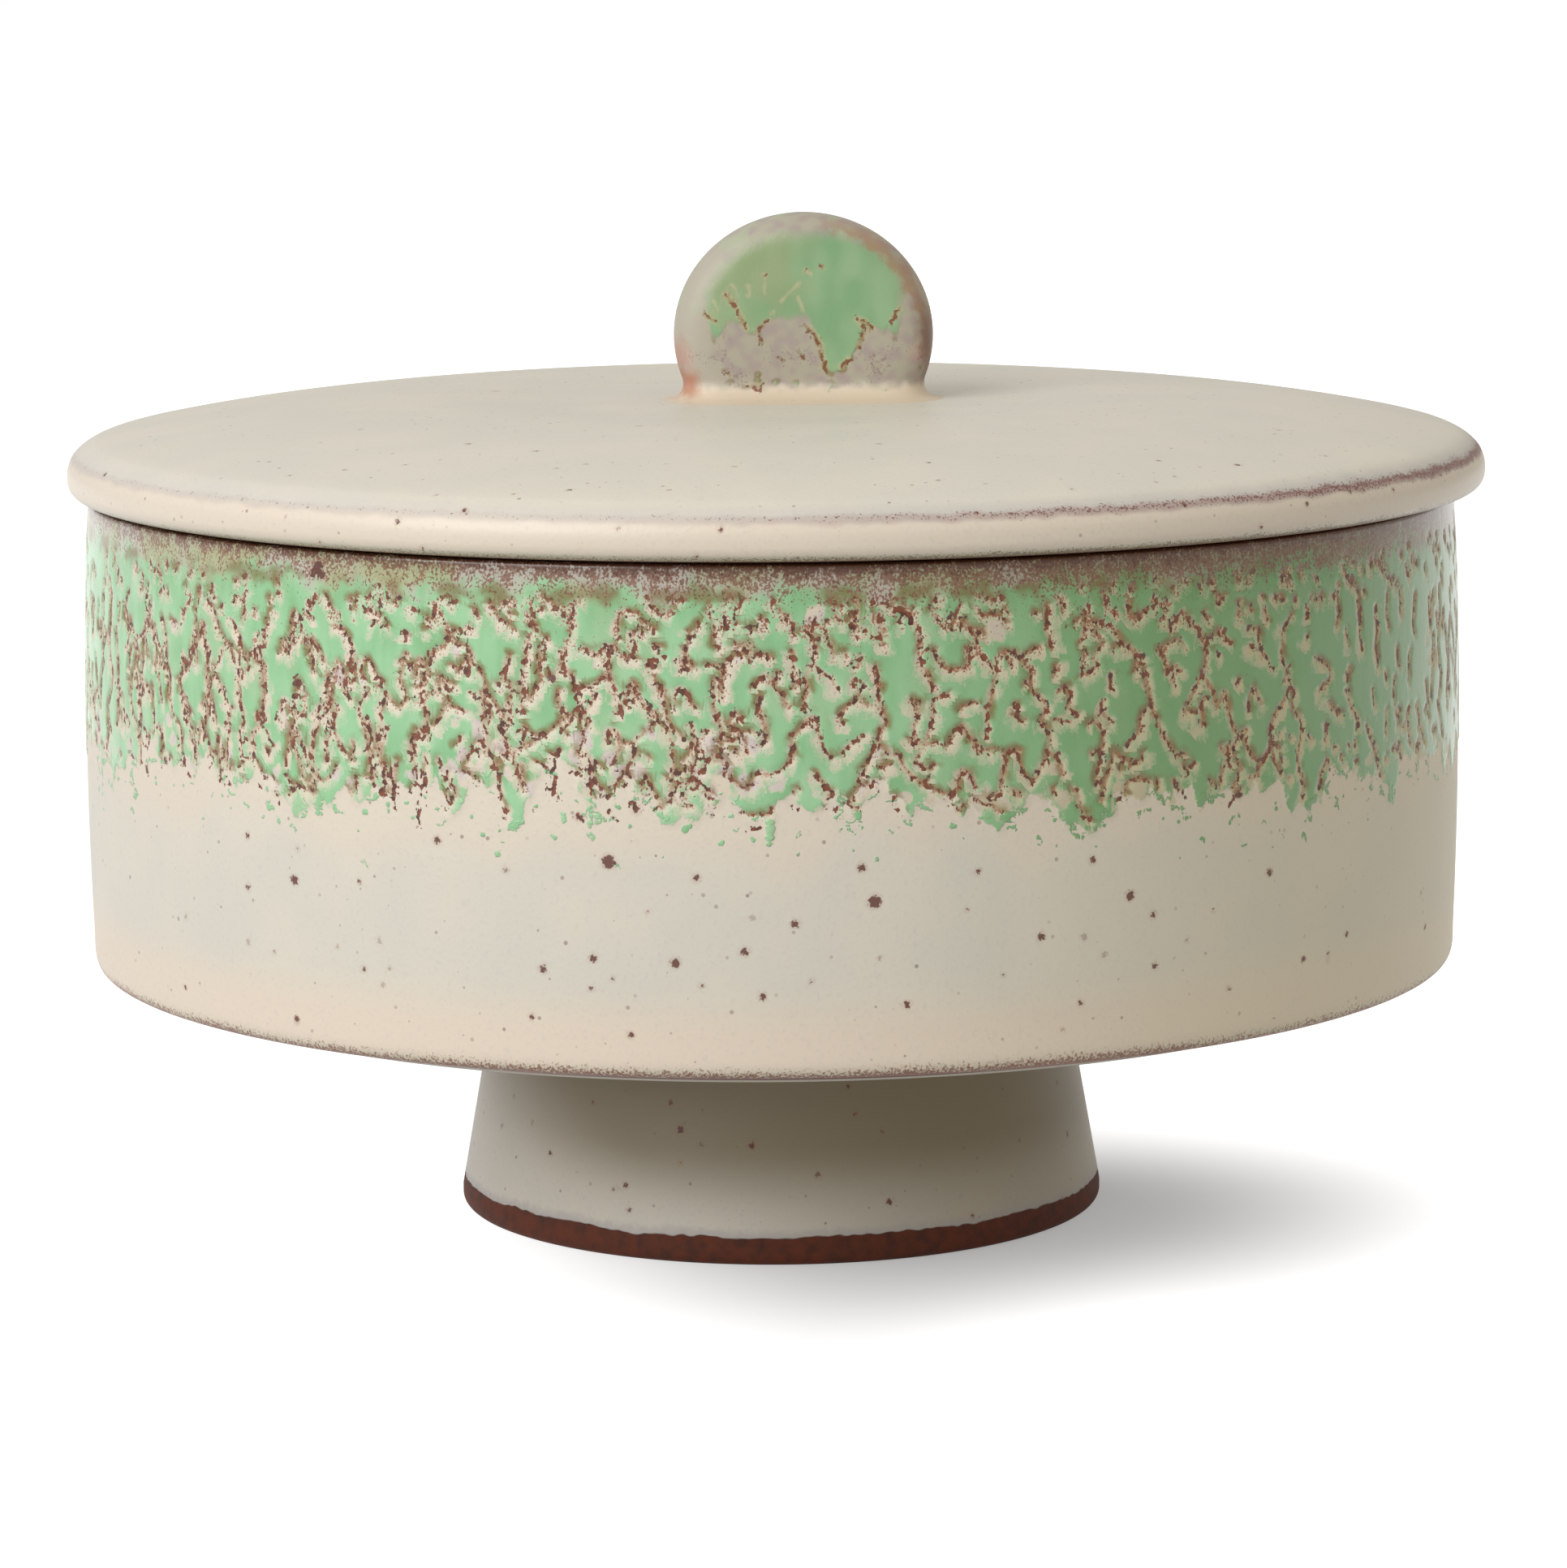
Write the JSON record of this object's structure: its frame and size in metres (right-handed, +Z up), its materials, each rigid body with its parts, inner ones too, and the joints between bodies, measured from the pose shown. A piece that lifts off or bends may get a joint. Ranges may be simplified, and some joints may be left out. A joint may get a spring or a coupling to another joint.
{
  "type": "candy dish",
  "caption": "Round, straight-sided candy dish on a short hollow foot, with a broad low lid that lifts straight off by an upright oval disc knob and is centred by a ring underneath.",
  "frame": {"origin": "on the table, under the middle of the foot and the lid", "axes": "+Z up, along the way the lid lifts; -Y towards the viewer of the picture; the knob's two broad faces look along -Y and +Y"},
  "size_m": [0.145, 0.145, 0.1025],
  "materials": {
    "cream_glaze": "satin matte cream stoneware glaze with fine brown specks, breaking to red-brown on edges; bare brown clay at the base of the foot",
    "green_over_cream_glaze": "a ragged band of pooled green glaze with brown veins and pale halos, run down over the satin cream glaze",
    "green_glaze": "pooled satin green glaze that breaks to brown and mauve round the edge and runs into cream at the root"
  },
  "bodies": {
    "dish": {"bowl": "green_over_cream_glaze", "foot": "cream_glaze"},
    "cover": {"lid": "cream_glaze", "lid_ring": "cream_glaze", "knob": "green_glaze", "knob_fillet": "cream_glaze"}
  },
  "joints": [
    {"name": "lid_lift", "type": "slide", "parent": "dish", "child": "cover", "axis": [0, 0, 1], "range_m": [0, 0.12]}
  ]
}
